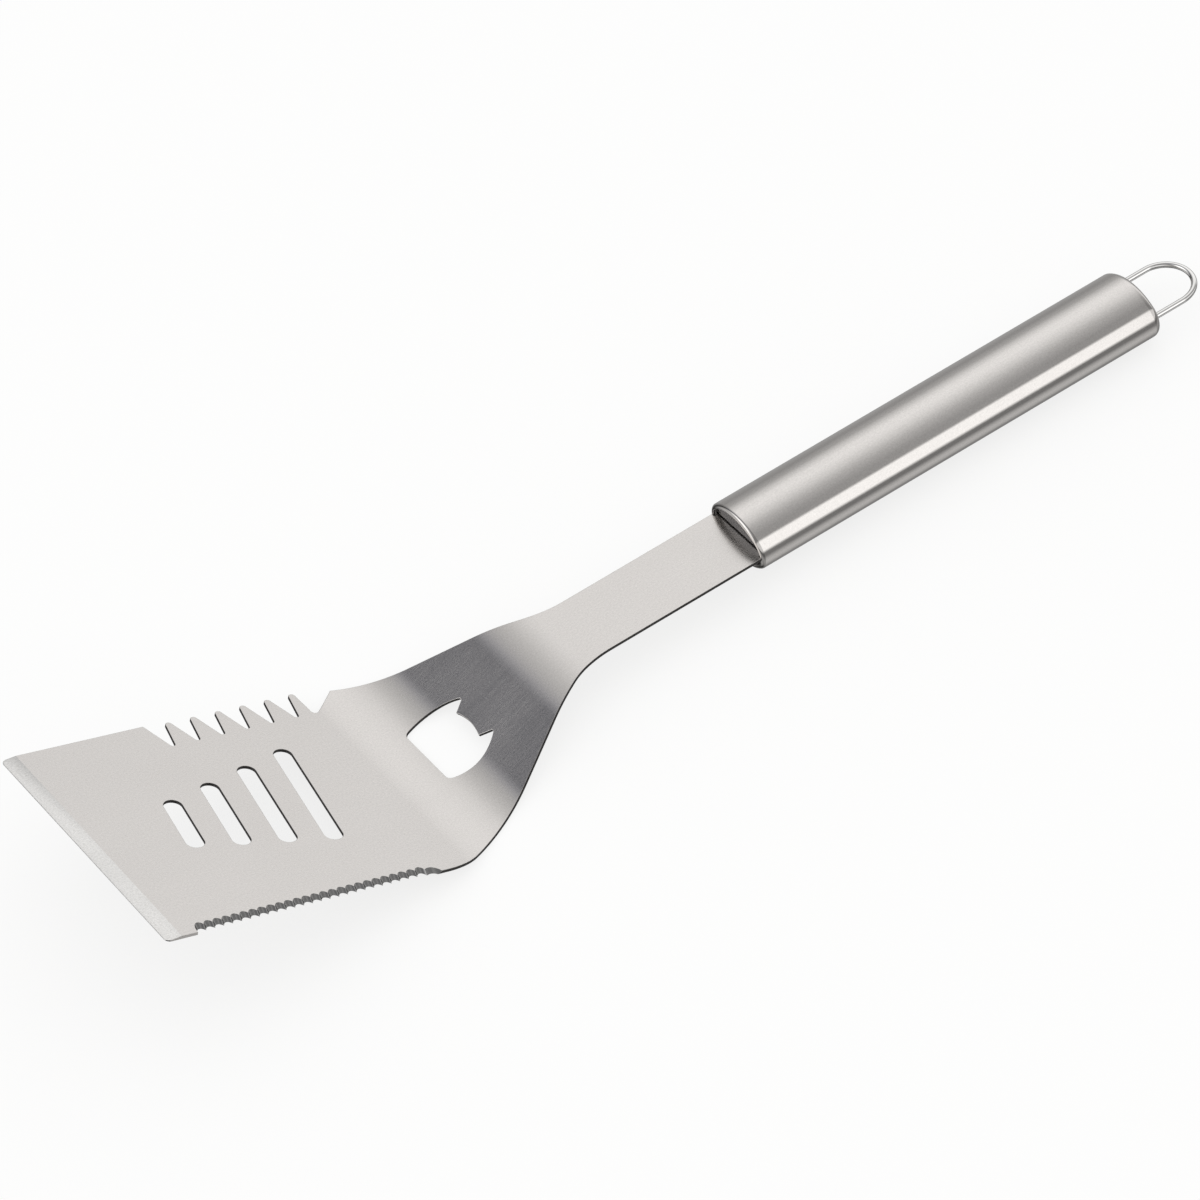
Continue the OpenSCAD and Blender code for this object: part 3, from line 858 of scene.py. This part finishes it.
world = bpy.data.worlds.new("studio")
bpy.context.scene.world = world
world.use_nodes = True
w = Nodes(world.node_tree)
way = w.add("ShaderNodeSeparateXYZ", {0: w.add("ShaderNodeTexCoord").outputs["Generated"]})
wx, wy, wz = way.outputs
# Turn of the direction round the length of the tool: 0 is up, 90 to the right, -90 to the left
roll = w.times(w.math("ARCTAN2", w.times(wy, -1.0), wz), 180 / math.pi)
PEAK = 1.6               # the brightest level of a panel


def ramp(value, low, high, stops):
    """Straight lines through (place, level) stops."""
    node = w.add("ShaderNodeValToRGB", {"Fac": w.remap(value, low, high, 0.0, 1.0)})
    elements = node.color_ramp.elements
    while len(elements) > 1:
        elements.remove(elements[0])
    for i, (place, level) in enumerate(stops):
        position = (place - low) / (high - low)
        stop = elements.new(position) if i else elements[0]
        stop.position = position
        stop.color = (level / PEAK, level / PEAK, level / PEAK, 1)
    return w.times(node.outputs["Color"], PEAK)


# The panels on the left are seen in the sheet, and those on the right only in the handle
on_left = w.remap(roll, -8, 22, 1.0, 0.0, "SMOOTHSTEP")
shift = w.times(w.math("MAXIMUM", w.math("SUBTRACT", wx, 0.3), 0.0), 45.0)
around = ramp(w.total(roll, w.times(shift, on_left)), -180, 180, [
    (-180, 0.30), (-168, 0.24), (-150, 0.28), (-110, 0.4), (-84, 0.33), (-66, 0.48), (-55, 0.75),
    (-42, 1.0), (-30, 1.03), (-22, 0.97), (-10, 0.82), (-2, 0.68), (6, 0.55), (20, 0.42), (33, 0.42),
    (37, 0.8), (43, 1.40), (87, 1.40), (93, 0.80), (100, 0.24), (116, 0.24), (126, 0.42),
    (134, 0.55), (148, 0.64), (164, 0.54), (180, 0.30)])
over_sheet = ramp(wx, -1, 1, [
    (-1, 1.6), (-0.6, 1.6), (-0.44, 0.8), (-0.37, 0.14), (-0.24, 0.118), (-0.17, 0.48), (-0.09, 0.60),
    (0.0, 0.66), (0.115, 0.82), (0.23, 1.02), (0.30, 1.07), (0.5, 1.11), (1.0, 1.08)])
over_handle = w.times(w.remap(wx, 0.08, 0.22, 0.6, 1.0), w.remap(wx, 0.40, 0.55, 1.0, 0.65))
lengthwise = w.total(w.times(over_sheet, on_left), w.times(over_handle, w.math("SUBTRACT", 1.0, on_left)))
panels = w.times(around, lengthwise)
seen = w.add("ShaderNodeLightPath").outputs["Is Glossy Ray"]
level = w.total(w.times(panels, seen), w.math("SUBTRACT", 1.0, seen))

# The panel that the neck reflects is dark and slightly blue
over_neck = w.times(w.remap(wx, -0.10, -0.22, 0.0, 1.0), w.remap(wx, -0.45, -0.36, 0.0, 1.0))
over_neck = w.times(w.times(over_neck, w.remap(wz, 0.2, 0.4, 0.0, 1.0)), on_left)
tint = w.mix(w.times(over_neck, seen), (1.0, 1.0, 1.0), (0.95, 0.98, 1.13))
w.close("ShaderNodeOutputWorld", w.add("ShaderNodeBackground", {"Color": tint, "Strength": level}))

# ---- camera, at the photograph's viewing angle ----

AZIMUTH = 24.928
ELEVATION = 44.593
ROLL = -13.264
DISTANCE = 2.1332
LENS = 191.4
AIM = Vector((-0.0176, 0.0150, 0.0063))
az, el, ro = (math.radians(v) for v in (AZIMUTH, ELEVATION, ROLL))
back = Vector((-math.sin(az) * math.cos(el), -math.cos(az) * math.cos(el), math.sin(el)))
level_right = Vector((0, 0, 1)).cross(back).normalized()
level_up = back.cross(level_right)
right = level_right * math.cos(ro) + level_up * math.sin(ro)
up = back.cross(right)
camera_data = bpy.data.cameras.new("camera")
camera_data.sensor_width = 36.0
camera_data.lens = LENS
camera_data.clip_start = 0.05
camera_data.clip_end = 50
camera = bpy.data.objects.new("camera", camera_data)
bpy.context.scene.collection.objects.link(camera)
camera.matrix_world = (Matrix.Translation(AIM + back * DISTANCE)
                       @ Matrix((right, up, back)).transposed().to_4x4())
bpy.context.scene.camera = camera
bpy.context.scene.view_settings.view_transform = "Standard"
